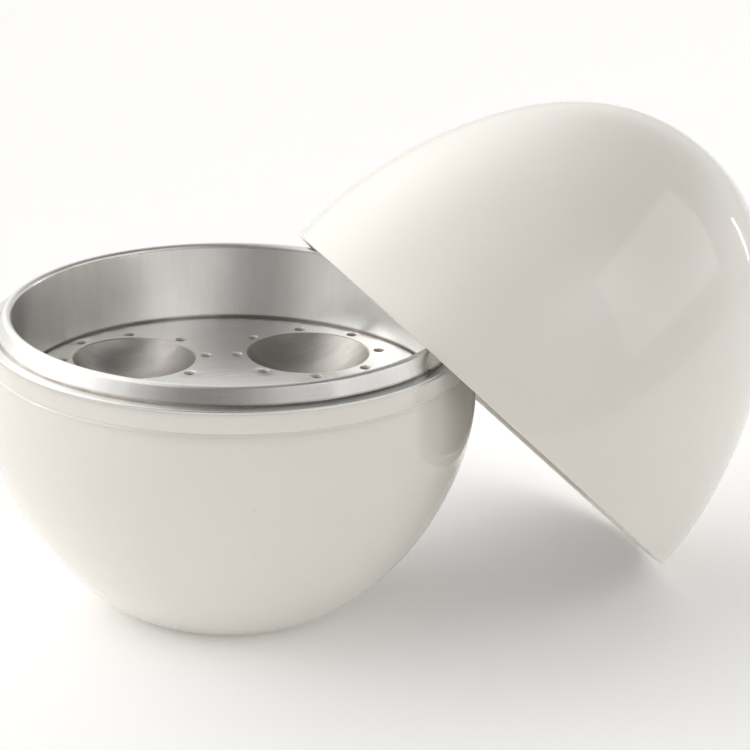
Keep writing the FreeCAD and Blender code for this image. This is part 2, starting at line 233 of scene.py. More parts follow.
def turned_piece(
    name: str,
    outline: Outline,
    segments: int,
    stance: Stance = UPRIGHT,
    wobble: Wobble | None = None,
    closed: bool = True,
) -> Object:
    """Turns an outline about its axis.

    Args:
        name: name of the piece.
        outline: its cross-section; if closed, its ends meet or both lie on the axis.
        segments: facets round the axis.
        stance: how the axis stands.
        wobble: extra radius in millimetres for an angle, a radius and a height.
        closed: whether its last point joins the first.

    Returns:
        The object.
    """
    verts: list[Vector] = []
    rings: list[list[int]] = []
    points = outline.points
    if math.dist(points[0], points[-1]) < ON_AXIS:
        points = points[:-1]
    for radius, height in points:
        if radius < ON_AXIS:
            rings.append([len(verts)] * segments)
            verts.append(Vector((0, 0, height * MM)))
            continue
        ring = []
        for number in range(segments):
            angle = math.tau * number / segments
            reach = radius + (wobble(angle, radius, height) if wobble else 0.0)
            ring.append(len(verts))
            verts.append(Vector((reach * math.cos(angle), reach * math.sin(angle), height)) * MM)
        rings.append(ring)
    faces: list[list[int]] = []
    for low, high in zip(rings, rings[1:] + (rings[:1] if closed else [])):
        if low[0] == low[1] and high[0] == high[1]:
            continue
        for number in range(segments):
            after = (number + 1) % segments
            face = list(dict.fromkeys((low[number], low[after], high[after], high[number])))
            if len(face) > 2:
                faces.append(face)
    move = stance.matrix()
    return new_object(name, [move @ corner for corner in verts], faces)


# Finishes


class Grain(Enum):
    """Which way a metal sheet's fine lines and draw marks run, as how often they vary."""

    ROUND_THE_AXIS = ((6.0, 6.0), (34.0, 34.0, 55.0))
    ALONG_THE_SHEET = ((60.0, LINES_PER_METRE), (40.0, 420.0, 160.0))


class Nodes:
    """A short hand for building one material's nodes."""

    def __init__(self, tree: NodeTree) -> None:
        """Takes a node tree and empties it."""
        tree.nodes.clear()
        self.tree = tree

    def add(self, kind: str, inputs: dict | None = None, **settings) -> Node:
        """Adds a node.

        Args:
            kind: its Blender type.
            inputs: values or sockets for its inputs, by name or number.
            settings: its own settings.

        Returns:
            The node.
        """
        node = self.tree.nodes.new(kind)
        for name, value in settings.items():
            setattr(node, name, value)
        for name, value in (inputs or {}).items():
            if isinstance(value, NodeSocket):
                self.tree.links.new(value, node.inputs[name])
            else:
                node.inputs[name].default_value = value
        return node

    def place(self) -> NodeSocket:
        """Gives the place on the piece, in metres."""
        return self.add("ShaderNodeTexCoord").outputs["Object"]

    def sum(self, kind: str, first, second) -> NodeSocket:
        """Combines two numbers, each a value or a socket, by the named sum."""
        return self.add("ShaderNodeMath", {0: first, 1: second}, operation=kind).outputs[0]

    def mixed(self, first, share: float, second) -> NodeSocket:
        """Adds up two sockets by a share of the first and the rest of the second."""
        rest = self.sum("MULTIPLY", second, 1 - share)
        return self.sum("ADD", self.sum("MULTIPLY", first, share), rest)

    def vector(self, kind: str, first, second) -> NodeSocket:
        """Combines two directions, each a value or a socket, by the named sum."""
        return self.add("ShaderNodeVectorMath", {0: first, 1: second}, operation=kind).outputs[0]

    def length(self, arrow) -> NodeSocket:
        """Measures the length of a socket's arrow."""
        return self.add("ShaderNodeVectorMath", {0: arrow}, operation="LENGTH").outputs["Value"]

    def spread(self, value, low: float, high: float, to_low: float, to_high: float) -> NodeSocket:
        """Maps a socket's value from one range to another, held at its ends."""
        return self.add("ShaderNodeMapRange", {
            "Value": value, "From Min": low, "From Max": high, "To Min": to_low, "To Max": to_high,
        }).outputs["Result"]

    def noise(self, place, scale: float, detail: float = 3.0, roughness: float = 0.5) -> NodeSocket:
        """Samples cloudy noise at a place, with so many blotches per metre and layers of detail."""
        return self.add("ShaderNodeTexNoise", {
            "Vector": place, "Scale": scale, "Detail": detail, "Roughness": roughness,
        }).outputs["Fac"]

    def blend(self, share, first, second) -> NodeSocket:
        """Mixes two colours, each a value or a socket, by the share of the second."""
        return self.add("ShaderNodeMix", {0: share, 6: first, 7: second}, data_type="RGBA").outputs[2]

    def bump(self, height, strength: float, depth: float, under=None) -> NodeSocket:
        """Turns a height into a surface direction.

        Args:
            height: socket with the height.
            strength: how much of it shows.
            depth: height of the marks, in metres.
            under: an earlier surface direction, if any.

        Returns:
            The socket with the surface direction.
        """
        inputs = {"Height": height, "Strength": strength, "Distance": depth}
        if under is not None:
            inputs["Normal"] = under
        return self.add("ShaderNodeBump", inputs).outputs["Normal"]

    def surface(self, inputs: dict) -> None:
        """Adds the main shader with its inputs, and shows it."""
        shader = self.add("ShaderNodeBsdfPrincipled", inputs)
        self.add("ShaderNodeOutputMaterial", {"Surface": shader.outputs["BSDF"]})

    def axis_distance(self, place) -> NodeSocket:
        """Finds how far a place is from a turned piece's axis."""
        return self.length(self.vector("MULTIPLY", place, (1.0, 1.0, 0.0)))


def new_material(name: str) -> tuple[Material, Nodes]:
    """Makes an empty material.

    Args:
        name: name of the finish.

    Returns:
        The material and its nodes.
    """
    material = bpy.data.materials.new(name)
    material.use_nodes = True
    return material, Nodes(material.node_tree)


@dataclass(frozen=True)
class MouldedPlastic:
    """Glossy off-white injection moulding with a faint orange peel and handling marks."""

    name: str
    pale: Colour = (0.835, 0.803, 0.75, 1.0)
    warm: Colour = (0.81, 0.772, 0.71, 1.0)
    dust: Colour = (0.62, 0.60, 0.55, 1.0)
    rough: Point = (0.07, 0.14)
    clouds_per_metre: float = 16.0
    sinks_per_metre: float = 27.2
    handling_per_metre: float = 49.6
    peel_per_metre: float = 210.0
    specks_per_metre: float = 900.0
    peel_depth: float = 0.00025
    sink_depth: float = 0.0012

    def make(self) -> Material:
        """Builds the material."""
        material, nodes = new_material(self.name)
        place = nodes.place()
        clouds = nodes.noise(place, self.clouds_per_metre, 4.0, 0.55)
        specks = nodes.noise(place, self.specks_per_metre, 2.0)
        handled = nodes.noise(place, self.handling_per_metre, 6.0, 0.7)
        peel = nodes.noise(place, self.peel_per_metre, 2.0)
        sink = nodes.noise(place, self.sinks_per_metre, 1.0)
        colour = nodes.blend(nodes.spread(clouds, 0.35, 0.65, 0, 1), self.pale, self.warm)
        nodes.surface({
            "Base Color": nodes.blend(nodes.spread(specks, 0.70, 0.78, 0, 0.35), colour, self.dust),
            "Roughness": nodes.spread(handled, 0.3, 0.75, *self.rough),
            "IOR": 1.49,
            "Normal": nodes.bump(sink, 0.12, self.sink_depth, nodes.bump(peel, 0.10, self.peel_depth)),
            "Subsurface Weight": 0.12,
            "Subsurface Scale": 0.004,
            "Subsurface Radius": (1.0, 0.85, 0.65),
            "Coat Weight": 0.4,
            "Coat Roughness": 0.04,
        })
        return material


@dataclass(frozen=True)
class SheetAluminium:
    """Bare aluminium sheet with drawing marks, a satin haze, faint handling blotches and painted shade
    in listed corners.
    """

    name: str
    grain: Grain
    stance: Stance = UPRIGHT
    bright: Colour = (0.80, 0.795, 0.78, 1.0)
    dull: Colour = (0.745, 0.74, 0.72, 1.0)
    # Dark brown of the painted shade, which stands in for the shade in the corners listed below.
    crease_shade: Colour = (0.20, 0.17, 0.14, 1.0)
    shaded_creases: tuple[Triple, ...] = ()
    rough: Point = (0.21, 0.28)
    stretch: float = 0.6
    blotches_per_metre: float = 45.0
    sparkles_per_metre: float = 1170.0
    line_depth: float = 0.000004
    mark_depth: float = 0.00002
    sparkle_depth: float = 0.000004

    def make(self) -> Material:
        """Builds the material."""
        material, nodes = new_material(self.name)
        place = nodes.add("ShaderNodeMapping", {
            "Vector": nodes.place(),
            "Location": Vector(self.stance.centre) * MM,
            "Rotation": (0.0, math.radians(self.stance.lean), 0.0),
        }, vector_type="TEXTURE").outputs["Vector"]
        lines, marks = self.lines_and_marks(nodes, place)
        blotches = nodes.noise(place, self.blotches_per_metre, 5.0, 0.62)
        sparkle = nodes.noise(place, self.sparkles_per_metre, 1.0)
        tone = nodes.spread(nodes.mixed(marks, 0.55, blotches), 0.38, 0.64, 0, 1)
        colour = nodes.blend(tone, self.bright, self.dull)
        # Painted shade: each listed corner is darkened towards the brown, most at its middle.
        for ring in self.shaded_creases:
            colour = nodes.blend(self.crease_shading(nodes, place, ring, blotches), colour, self.crease_shade)
        surface = nodes.bump(lines, 0.2, self.line_depth)
        surface = nodes.bump(marks, 0.1, self.mark_depth, surface)
        surface = nodes.bump(sparkle, 0.15, self.sparkle_depth, surface)
        inputs = {
            "Base Color": colour,
            "Metallic": 1.0,
            "Roughness": nodes.spread(nodes.mixed(blotches, 0.6, lines), 0.35, 0.65, *self.rough),
            "Anisotropic": self.stretch,
            "Anisotropic Rotation": 0.25,
            "Normal": surface,
        }
        if self.stretch:
            inputs["Tangent"] = self.way_round(nodes)
        nodes.surface(inputs)
        return material

    def crease_shading(self, nodes: Nodes, place, ring: Triple, patchy) -> NodeSocket:
        """Finds how dark the painted shade is in a corner that runs round the piece.

        Args:
            nodes: the material's nodes.
            place: socket with the place on the piece.
            ring: the corner's radius, height and reach in millimetres.
            patchy: socket with a noise that makes the painted shade uneven.

        Returns:
            The socket with the amount.
        """
        radius, height, reach = (size * MM for size in ring)
        level = nodes.add("ShaderNodeSeparateXYZ", {0: place}).outputs[2]
        distance = nodes.length(nodes.add("ShaderNodeCombineXYZ", {
            0: nodes.sum("SUBTRACT", nodes.axis_distance(place), radius),
            1: nodes.sum("SUBTRACT", level, height),
        }).outputs[0])
        shade_amount = nodes.spread(distance, reach * 0.2, reach, 0.95, 0.0)
        return nodes.sum("MULTIPLY", shade_amount, nodes.spread(patchy, 0.3, 0.6, 0.7, 1.0))

    def way_round(self, nodes: Nodes) -> NodeSocket:
        """Finds the direction round the piece's axis, across which its highlights are drawn out.

        Args:
            nodes: the material's nodes.

        Returns:
            The socket with the direction.
        """
        lean = math.radians(self.stance.lean)
        position = nodes.add("ShaderNodeNewGeometry").outputs["Position"]
        out = nodes.vector("SUBTRACT", position, Vector(self.stance.centre) * MM)
        return nodes.vector("CROSS_PRODUCT", (math.sin(lean), 0.0, math.cos(lean)), out)

    def lines_and_marks(self, nodes: Nodes, place) -> tuple[NodeSocket, NodeSocket]:
        """Samples the fine lines and the longer draw marks.

        Args:
            nodes: the material's nodes.
            place: socket with the place on the piece.

        Returns:
            The sockets for the lines and for the marks.
        """
        if self.grain is Grain.ROUND_THE_AXIS:
            parts = nodes.add("ShaderNodeSeparateXYZ", {0: place}).outputs
            radius = nodes.sum("MAXIMUM", nodes.axis_distance(place), 0.0005)
            place = nodes.add("ShaderNodeCombineXYZ", {
                0: nodes.sum("DIVIDE", parts[0], radius),
                1: nodes.sum("DIVIDE", parts[1], radius),
                2: nodes.sum("ADD", radius, parts[2]),
            }).outputs[0]
        line_scale, mark_scale = self.grain.value
        lines = nodes.vector("MULTIPLY", place, (*line_scale, LINES_PER_METRE))
        marks = nodes.vector("MULTIPLY", place, mark_scale)
        return nodes.noise(lines, 1.0, 1.0), nodes.noise(marks, 1.0, 4.0, 0.65)


@dataclass(frozen=True)
class PunchedEdge:
    """Torn, matt metal on the wall of a punched hole, coloured pale and warm as painted light on the
    hole walls.
    """

    name: str = "punched_edge_painted_light"
    # Pale, warm colours: painted light for the light seen on the hole walls.
    bright: Colour = (0.97, 0.92, 0.86, 1.0)
    dull: Colour = (0.86, 0.78, 0.70, 1.0)
    tears_per_metre: float = 2400.0
    tear_depth: float = 0.00005

    def make(self) -> Material:
        """Builds the material."""
        material, nodes = new_material(self.name)
        torn = nodes.noise(nodes.place(), self.tears_per_metre, 3.0, 0.6)
        nodes.surface({
            "Base Color": nodes.blend(nodes.spread(torn, 0.35, 0.65, 0, 1), self.bright, self.dull),
            "Roughness": nodes.spread(torn, 0.3, 0.7, 0.5, 0.7),
            "Normal": nodes.bump(torn, 0.4, self.tear_depth),
        })
        return material


@dataclass(frozen=True)
class PaleFloor:
    """Matt white studio paper with a barely visible tooth."""

    name: str = "studio_paper"
    white: Colour = (0.93, 0.93, 0.925, 1.0)
    off_white: Colour = (0.915, 0.915, 0.91, 1.0)
    glow: float = 0.15
    tooth_depth: float = 0.0002

    def make(self) -> Material:
        """Builds the material."""
        material, nodes = new_material(self.name)
        place = nodes.place()
        nodes.surface({
            "Base Color": nodes.blend(nodes.noise(place, 3.0, 3.0), self.white, self.off_white),
            "Emission Color": self.white,
            "Emission Strength": self.glow,
            "Roughness": 0.85,
            "Specular IOR Level": 0.2,
            "Normal": nodes.bump(nodes.noise(place, 320.0, 4.0), 0.05, self.tooth_depth),
        })
        return material


# Pieces


def dress(piece: Object, material: Material, node: str) -> None:
    """Gives a piece its finish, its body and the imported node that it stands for.

    Args:
        piece: the finished mesh object.
        material: its finish.
        node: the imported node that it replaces.
    """
    piece.data.materials.append(material)
    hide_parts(node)
    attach(piece, ROOT_BODY)
    log.info("%s: %d faces, rides on %s", piece.name, len(piece.data.polygons), ROOT_BODY)


def add_finish(piece: Object, material: Material, numbers: Sequence[int]) -> None:
    """Gives some of a dressed piece's faces another finish.

    Args:
        piece: the mesh object.
        material: the other finish.
        numbers: the faces' numbers.
    """
    piece.data.materials.append(material)
    for number in numbers:
        piece.data.polygons[number].material_index = len(piece.data.materials) - 1


def ripple(seed: float, height: float, waves: float) -> Wobble:
    """Makes the slight unevenness that drawing leaves in thin sheet.

    Args:
        seed: picks the pattern.
        height: its largest depth, in millimetres.
        waves: about how many waves go round.

    Returns:
        A function that gives the extra radius at a place.
    """
    def offset(angle: float, radius: float, level: float) -> float:
        place = Vector((math.cos(angle) * waves / 6, math.sin(angle) * waves / 6, level * 0.03 + seed))
        return height * noise.noise(place)

    return offset


@dataclass
class LowerEggHalf:
    """Moulded lower half of the egg with its drawn metal bowl, in millimetres."""

    foot_radius: float = 33.8
    foot_bend: float = 1.5
    foot_ring_width: float = 4.5
    foot_ring_round: float = 0.3
    foot_recess: float = 1.0
    wall: float = 2.6
    belly_pull: Point = (56.064, 11.590)
    shoulder_pull: Point = (78.794, 48.015)
    shoulder_height: float = 77.6
    neck_radius: float = 71.8
    neck_height: float = 6.3
    neck_round: float = 0.6
    crease_depth: float = 0.3
    crease_reach: float = 0.5
    sheet: float = 0.8
    rim_height: float = 90.0
    rim_ring_radius: float = 65.8
    rim_bend: float = 1.45
    collar_flare: float = 23.0
    flange_fillet: float = 1.0
    flange_overhang: float = 0.8
    flange_round: float = 0.35
    wall_taper: float = 4.0
    ledge_drop: float = 24.35
    ledge_width: float = 1.5
    ledge_round: float = 0.4
    bowl_straight: float = 4.9
    bowl_flat: float = 13.2
    bowl_lift: float = 8.4
    # Painted shade in two corners: the collar's fillet (past the rim ring, above the neck, reach) and
    # the wall's foot above the tray's step (height, reach).
    collar_shade: Triple = (3.3, 1.0, 0.95)
    ledge_shade: Point = (1.2, 0.9)
    segments: int = 320

    @property
    def neck_top(self) -> float:
        """Height of the plastic neck's top edge."""
        return self.shoulder_height + self.neck_height

    @property
    def ledge_height(self) -> float:
        """Height of the step that the tray sits on."""
        return self.rim_height - self.ledge_drop

    @property
    def bend(self) -> Point:
        """Middle of the folded rim's bend."""
        return self.rim_ring_radius, self.rim_height - self.rim_bend

    @property
    def wall_top(self) -> Point:
        """Where the tapered wall runs into the folded rim."""
        return around(self.bend, self.rim_bend, math.pi - math.radians(self.wall_taper))

    @property
    def wall_foot(self) -> float:
        """Radius of the tapered wall where it meets the tray's step."""
        top_radius, top_height = self.wall_top
        return top_radius - (top_height - self.ledge_height) * math.tan(math.radians(self.wall_taper))

    def shaded_corners(self) -> tuple[Triple, ...]:
        """Lists the bowl's corners that get painted shade, as radius, height and reach."""
        past_rim, above_neck, collar_reach = self.collar_shade
        above_ledge, ledge_reach = self.ledge_shade
        return (
            (self.rim_ring_radius + past_rim, self.neck_top + above_neck, collar_reach),
            (self.wall_foot, self.ledge_height + above_ledge, ledge_reach),
        )

    def shell_outline(self) -> Outline:
        """Draws the moulding's cross-section.

        Returns:
            The closed outline.
        """
        ring_inner = self.foot_radius - self.foot_ring_width
        floor_top = self.foot_recess + self.wall
        soft = self.foot_ring_round
        outside = [
            (self.foot_radius, 0.0),
            self.belly_pull,
            self.shoulder_pull,
            (self.neck_radius, self.shoulder_height),
        ]
        inside = poles_above(inset_poles(outside, self.wall), floor_top)
        climb = math.atan2(self.belly_pull[1], self.belly_pull[0] - self.foot_radius)
        bend_reach = self.foot_bend * math.tan(climb / 2)
        kept = poles_above(outside, bend_reach * math.sin(climb))
        path = Outline(0.0, self.foot_recess)
        path.line(ring_inner - soft, self.foot_recess, 6)
        path.arc(ring_inner, self.foot_recess - soft, soft, False, 4)
        path.line(ring_inner, soft)
        path.arc(ring_inner + soft, 0.0, soft, True, 4)
        path.line(self.foot_radius - bend_reach, 0.0, 3)
        path.arc(*kept[0], self.foot_bend, True, 4)
        path.curve(kept[1:3], kept[3], 110)
        run_out = 3 * math.dist(kept[2], kept[3])
        path.points[-1] = bezier(kept, 1 - 2 * self.crease_reach / run_out)
        path.points.append(bezier(kept, 1 - self.crease_reach / run_out))
        path.line(self.neck_radius - self.crease_depth, self.shoulder_height)
        path.line(self.neck_radius, self.shoulder_height + self.crease_reach)
        path.line(self.neck_radius, self.shoulder_height + 2 * self.crease_reach)
        path.line(self.neck_radius, self.neck_top - self.neck_round, 3)
        path.arc(self.neck_radius - self.neck_round, self.neck_top, self.neck_round, True, 5)
        path.line(self.neck_radius - self.wall + soft, self.neck_top, 2)
        path.arc(self.neck_radius - self.wall, self.neck_top - soft, soft, True, 3)
        path.line(inside[3][0], self.shoulder_height, 3)
        path.curve([inside[2], inside[1]], inside[0], 60)
        path.line(0.0, floor_top, 8)
        path.line(0.0, self.foot_recess)
        return path

    def bowl_outline(self) -> Outline:
        """Draws the drawn bowl's cross-section, with its folded rim and flange.

        Returns:
            The closed outline.
        """
        metal, bend, ring = self.sheet, self.rim_bend, self.rim_ring_radius
        inner_bend = bend - metal
        taper, flare = math.radians(self.wall_taper), math.radians(self.collar_flare)
        fillet, soft, edge = self.flange_fillet, self.ledge_round, self.flange_round
        flat, ledge = self.bowl_flat, self.ledge_height
        bowl_radius = self.wall_foot - self.ledge_width
        bowl_outside = bowl_radius + metal
        floor_under = self.foot_recess + self.wall + self.bowl_lift
        floor = floor_under + metal
        corner_top = ledge - self.bowl_straight
        flange_top = self.neck_top + metal
        flange_radius = self.neck_radius + self.flange_overhang
        head = around(self.bend, bend, flare)
        foot_height = flange_top + fillet - fillet * math.sin(flare)
        foot = (head[0] + (head[1] - foot_height) * math.tan(flare), foot_height)
        fillet_place = foot[0] + fillet * math.cos(flare)
        outer = fillet + metal
        under = around((fillet_place, flange_top + fillet), outer, math.pi + flare)
        back_top = around(self.bend, inner_bend, math.pi - taper)
        ledge_under = ledge - metal
        back_foot = back_top[0] - (back_top[1] - ledge_under) * math.tan(taper)
        path = Outline(0.0, floor)
        path.line(flat, floor, 4)
        path.curve((
            (flat + (bowl_radius - flat) * QUARTER_PULL, floor),
            (bowl_radius, corner_top - (corner_top - floor) * QUARTER_PULL),
        ), (bowl_radius, corner_top), 44)
        path.line(bowl_radius, ledge - soft, 3)
        path.arc(bowl_radius + soft, ledge, soft, False, 5)
        path.line(self.wall_foot - soft, ledge, 2)
        path.arc(self.wall_foot + soft * math.tan(taper), ledge + soft, soft, True, 5)
        path.line(*self.wall_top, 24)
        path.arc(ring, self.rim_height, bend, False, 12)
        path.arc(*head, bend, False, 10)
        path.line(*foot, 8)
        path.arc(fillet_place, flange_top, fillet, True, 8)
        path.line(flange_radius - edge, flange_top, 3)
        path.arc(flange_radius, flange_top - edge, edge, False, 5)
        path.line(flange_radius, self.neck_top)
        path.line(fillet_place, self.neck_top, 2)
        path.arc(*under, outer, False, 6)
        path.line(*around(self.bend, inner_bend, flare), 3)
        path.arc(ring, self.bend[1] + inner_bend, inner_bend, True, 5)
        path.arc(*back_top, inner_bend, True, 6)
        path.line(back_foot, ledge_under, 12)
        path.line(bowl_outside, ledge_under, 2)
        path.line(bowl_outside, corner_top, 2)
        path.curve((
            (bowl_outside, corner_top - (corner_top - floor_under) * QUARTER_PULL),
            (flat + (bowl_outside - flat) * QUARTER_PULL, floor_under),
        ), (flat, floor_under), 32)
        path.line(0.0, floor_under, 4)
        path.line(0.0, floor)
        return path

    def build(self, plastic: Material, metal: Material, inside: Material) -> None:
        """Makes and dresses the moulding and the bowl.

        Args:
            plastic: finish of the moulding.
            metal: darker finish of the bowl's rim, collar and flange, painted shade.
            inside: lighter finish of the bowl within its rim, painted light.
        """
        shell = turned_piece("base_moulding", self.shell_outline(), self.segments)
        dress(shell, plastic, "base_shell")
        bowl = turned_piece(
            "base_bowl", self.bowl_outline(), self.segments, wobble=ripple(3.7, 0.02, 40.0)
        )
        dress(bowl, metal, "base_liner")
        # The faces within the rim get the lighter copy of the aluminium, painted light.
        within = self.wall_top[0] * MM
        add_finish(bowl, inside, [f.index for f in bowl.data.polygons if f.center.xy.length < within])


class Skin:
    """Corners in millimetres and faces of a mesh that grows ring by ring."""

    def __init__(self, verts: list[Vector], faces: list[list[int]]) -> None:
        """Takes the corners and faces to start from."""
        self.verts, self.faces = verts, faces

    def bridge(self, low: Sequence[int], high: Sequence[int]) -> None:
        """Joins two rings of as many corners.

        Args:
            low: first ring.
            high: second ring.
        """
        for n in range(len(low)):
            after = (n + 1) % len(low)
            self.faces.append([low[n], low[after], high[after], high[n]])

    def grow(self, border: Sequence[int], centre: Vector, radius: float, height: float) -> list[int]:
        """Adds a level ring of corners and joins it to a border of as many.

        Args:
            border: the border's corners.
            centre: middle of the ring.
            radius: its radius.
            height: its height.

        Returns:
            The ring's corners.
        """
        first = len(self.verts)
        self.verts += [Vector((p.x, p.y, height)) for p in circle(centre, radius, len(border))]
        ring = list(range(first, len(self.verts)))
        self.bridge(border, ring)
        return ring


def circle(centre: Vector, radius: float, facets: int) -> list[Vector]:
    """Lists the points of a level circle, counter-clockwise."""
    return [Vector(around(centre, radius, math.tau * n / facets)) for n in range(facets)]



@dataclass
class EggTray:
    """Pressed lift-out plate with four dishes and their water holes, in millimetres."""

    under: float
    radius: float
    sheet: float = 1.0
    edge_round: float = 0.3
    turn: float = 32.5
    seats: int = 4
    seat_radius: float = 18.6
    seat_depth: float = 9.6
    seat_edge_round: float = 0.9
    seat_under_round: float = 1.3
    seat_border: float = 19.9
    holes_per_seat: int = 8
    hole_radius: float = 1.65
    hole_margin: float = 2.0
    hole_edge_margin: float = 1.4
    hole_round: float = 0.12
    spacing: float = 3.4
    edge_clear: float = 1.6
    seat_clear: float = 1.0
    hole_clear: float = 0.9
    hole_burr: float = 0.02
    lip_step: float = 0.12
    lip_rings: int = 16
    seat_rings: int = 22
    seat_facets: int = 96
    hole_facets: int = 28
    edge_facets: int = 288

    @property
    def top(self) -> float:
        """Height of the plate's upper face."""
        return self.under + self.sheet

    @property
    def sphere(self) -> float:
        """Radius of a dish's hollow ball."""
        return (self.seat_radius ** 2 + self.seat_depth ** 2) / (2 * self.seat_depth)

    @property
    def ball_height(self) -> float:
        """Height of that ball's middle."""
        return self.top - self.seat_depth + self.sphere

    @property
    def hole_ring(self) -> float:
        """Distance of the water holes from their dish's middle."""
        return self.flat_reach(0) + self.hole_margin + self.hole_radius - self.seat_edge_round

    @property
    def seat_distance(self) -> float:
        """Distance of the dishes' middles from the plate's own."""
        return self.radius - self.hole_edge_margin - self.hole_radius - self.hole_ring

    @property
    def hole_mouth(self) -> float:
        """Radius of a hole's rounded upper edge."""
        return self.hole_radius + self.hole_round

    def dish_face(self, side: int) -> Triple:
        """Gives a face's ball, bend and flat height; side 0 is the upper face, 1 the lower."""
        if side == 0:
            return self.sphere, self.seat_edge_round, self.top
        return self.sphere + self.sheet, self.seat_under_round, self.under

    def flat_reach(self, side: int) -> float:
        """Distance from a dish's middle at which a face is flat again."""
        ball, bend, level = self.dish_face(side)
        return math.sqrt((ball + bend) ** 2 - (self.ball_height - level + bend) ** 2)

    def dish_height(self, reach: float, side: int) -> float:
        """Finds the height of one of the sheet's faces in a dish.

        Args:
            reach: distance from the dish's middle.
            side: 0 for the upper face, 1 for the lower.

        Returns:
            The height.
        """
        ball, bend, level = self.dish_face(side)
        flat = self.flat_reach(side)
        if reach < flat * ball / (ball + bend):
            return self.ball_height - math.sqrt(ball ** 2 - reach ** 2)
        if reach < flat:
            return level - bend + math.sqrt(max(bend ** 2 - (flat - reach) ** 2, 0.0))
        return level

    def seat_centres(self) -> list[Vector]:
        """Lists the dishes' middles."""
        return [
            Vector((math.cos(angle), math.sin(angle))) * self.seat_distance
            for angle in (
                math.radians(self.turn) + math.tau * number / self.seats
                for number in range(self.seats)
            )
        ]

    def hole_centres(self) -> list[Vector]:
        """Lists the middles of all water holes."""
        found = []
        for centre in self.seat_centres():
            outward = math.atan2(centre.y, centre.x)
            for number in range(self.holes_per_seat):
                angle = outward + math.tau * number / self.holes_per_seat
                found.append(centre + Vector((math.cos(angle), math.sin(angle))) * self.hole_ring)
        return found


    def flat_loops(self) -> tuple[list[list[Vector]], list[Vector]]:
        """Lays out the flat part's borders and the loose points between them.

        Returns:
            The loops (outer edge, dishes, holes) and the loose points.
        """
        centres, holes = self.seat_centres(), self.hole_centres()
        loops = [circle(ORIGIN, self.radius - self.edge_round, self.edge_facets)]
        loops += [circle(c, self.seat_border, self.seat_facets) for c in centres]
        loops += [circle(c, self.hole_mouth, self.hole_facets) for c in holes]
        loose = []
        steps = int(self.radius / self.spacing) + 2
        for row in range(-steps, steps + 1):
            for column in range(-steps, steps + 1):
                spot = Vector((
                    (column + (row % 2) / 2) * self.spacing,
                    row * self.spacing * math.sqrt(3) / 2,
                ))
                clear = spot.length < self.radius - self.edge_clear
                clear = clear and self.is_outside(spot, centres, self.seat_border + self.seat_clear)
                if clear and self.is_outside(spot, holes, self.hole_mouth + self.hole_clear):
                    loose.append(spot)
        return loops, loose

    @staticmethod
    def is_outside(spot: Vector, centres: Sequence[Vector], radius: float) -> bool:
        """Tells whether a spot lies outside all circles of a radius."""
        return all((spot - centre).length > radius for centre in centres)

    def flat_part(self) -> tuple[Skin, list[list[int]], int]:
        """Fills the flat part of both faces with triangles.

        Returns:
            The mesh so far, the upper face's border rings in the loops' order, and the offset
            from a corner of the upper face to the lower one.
        """
        loops, loose = self.flat_loops()
        edges, starts, count = [], [], 0
        for loop in loops:
            starts.append(count)
            edges += [(count + n, count + (n + 1) % len(loop)) for n in range(len(loop))]
            count += len(loop)
        flat = [p for loop in loops for p in loop] + loose
        placed, _, triangles, origins, _, _ = geometry.delaunay_2d_cdt(flat, edges, [], 0, SAME_PLACE)
        remap = {old: new for new, olds in enumerate(origins) for old in olds}
        centres, holes = self.seat_centres(), self.hole_centres()
        kept = []
        for triangle in triangles:
            middle = sum((placed[i] for i in triangle), ORIGIN) / 3
            inside = middle.length < self.radius - self.edge_round
            inside = inside and self.is_outside(middle, centres, self.seat_border * SEAT_CHORD)
            if inside and self.is_outside(middle, holes, self.hole_mouth * HOLE_CHORD):
                kept.append(triangle)
        below = len(placed)
        verts = [Vector((p.x, p.y, level)) for level in (self.top, self.under) for p in placed]
        faces = [list(t) for t in kept] + [[i + below for i in reversed(t)] for t in kept]
        rings = [[remap[start + n] for n in range(len(loop))] for start, loop in zip(starts, loops)]
        return Skin(verts, faces), rings, below

    def build(self, metal: Material, punched: Material, dish_shade: Material) -> None:
        """Makes and dresses the tray.

        Args:
            metal: finish of the tray.
            punched: pale, warm finish of its holes' walls, painted light.
            dish_shade: darker finish of the dishes' upper faces, painted shade for the dark
                reflections in the hollows.
        """
        skin, rings, below = self.flat_part()
        self.close_edge(skin, rings[0], below)
        shaded_hollows: list[int] = []
        for centre, ring in zip(self.seat_centres(), rings[1:]):
            shaded_hollows.extend(self.press_dish(skin, centre, ring, 0))
            self.press_dish(skin, centre, [i + below for i in ring], 1)
        walls: list[int] = []
        for centre, ring in zip(self.hole_centres(), rings[1 + self.seats:]):
            walls.extend(self.punch_hole(skin, centre, ring, below))
        piece = new_object("egg_plate", [v * MM for v in skin.verts], skin.faces)
        dress(piece, metal, "egg_tray")
        add_finish(piece, punched, walls)
        add_finish(piece, dish_shade, shaded_hollows)

    def press_dish(self, skin: Skin, centre: Vector, border: list[int], side: int) -> range:
        """Presses one face of a dish.

        Args:
            skin: the tray's mesh.
            centre: the dish's middle.
            border: the dish's border ring on that face.
            side: 0 for the upper face, 1 for the lower.

        Returns:
            The numbers of the hollow's faces, without its rolled edge.
        """
        fine = [self.seat_border - self.lip_step * n for n in range(1, self.lip_rings + 1)]
        coarse = [fine[-1] * (1 - n / self.seat_rings) for n in range(1, self.seat_rings)]
        ring = border
        first = len(skin.faces)
        for reach in fine + coarse:
            if reach > self.seat_radius:
                first = len(skin.faces)
            ring = skin.grow(ring, centre, reach, self.dish_height(reach, side))
        middle = len(skin.verts)
        skin.verts.append(Vector((centre.x, centre.y, self.dish_height(0.0, side))))
        for n, corner in enumerate(ring):
            skin.faces.append([corner, ring[(n + 1) % len(ring)], middle])
        return range(first, len(skin.faces))

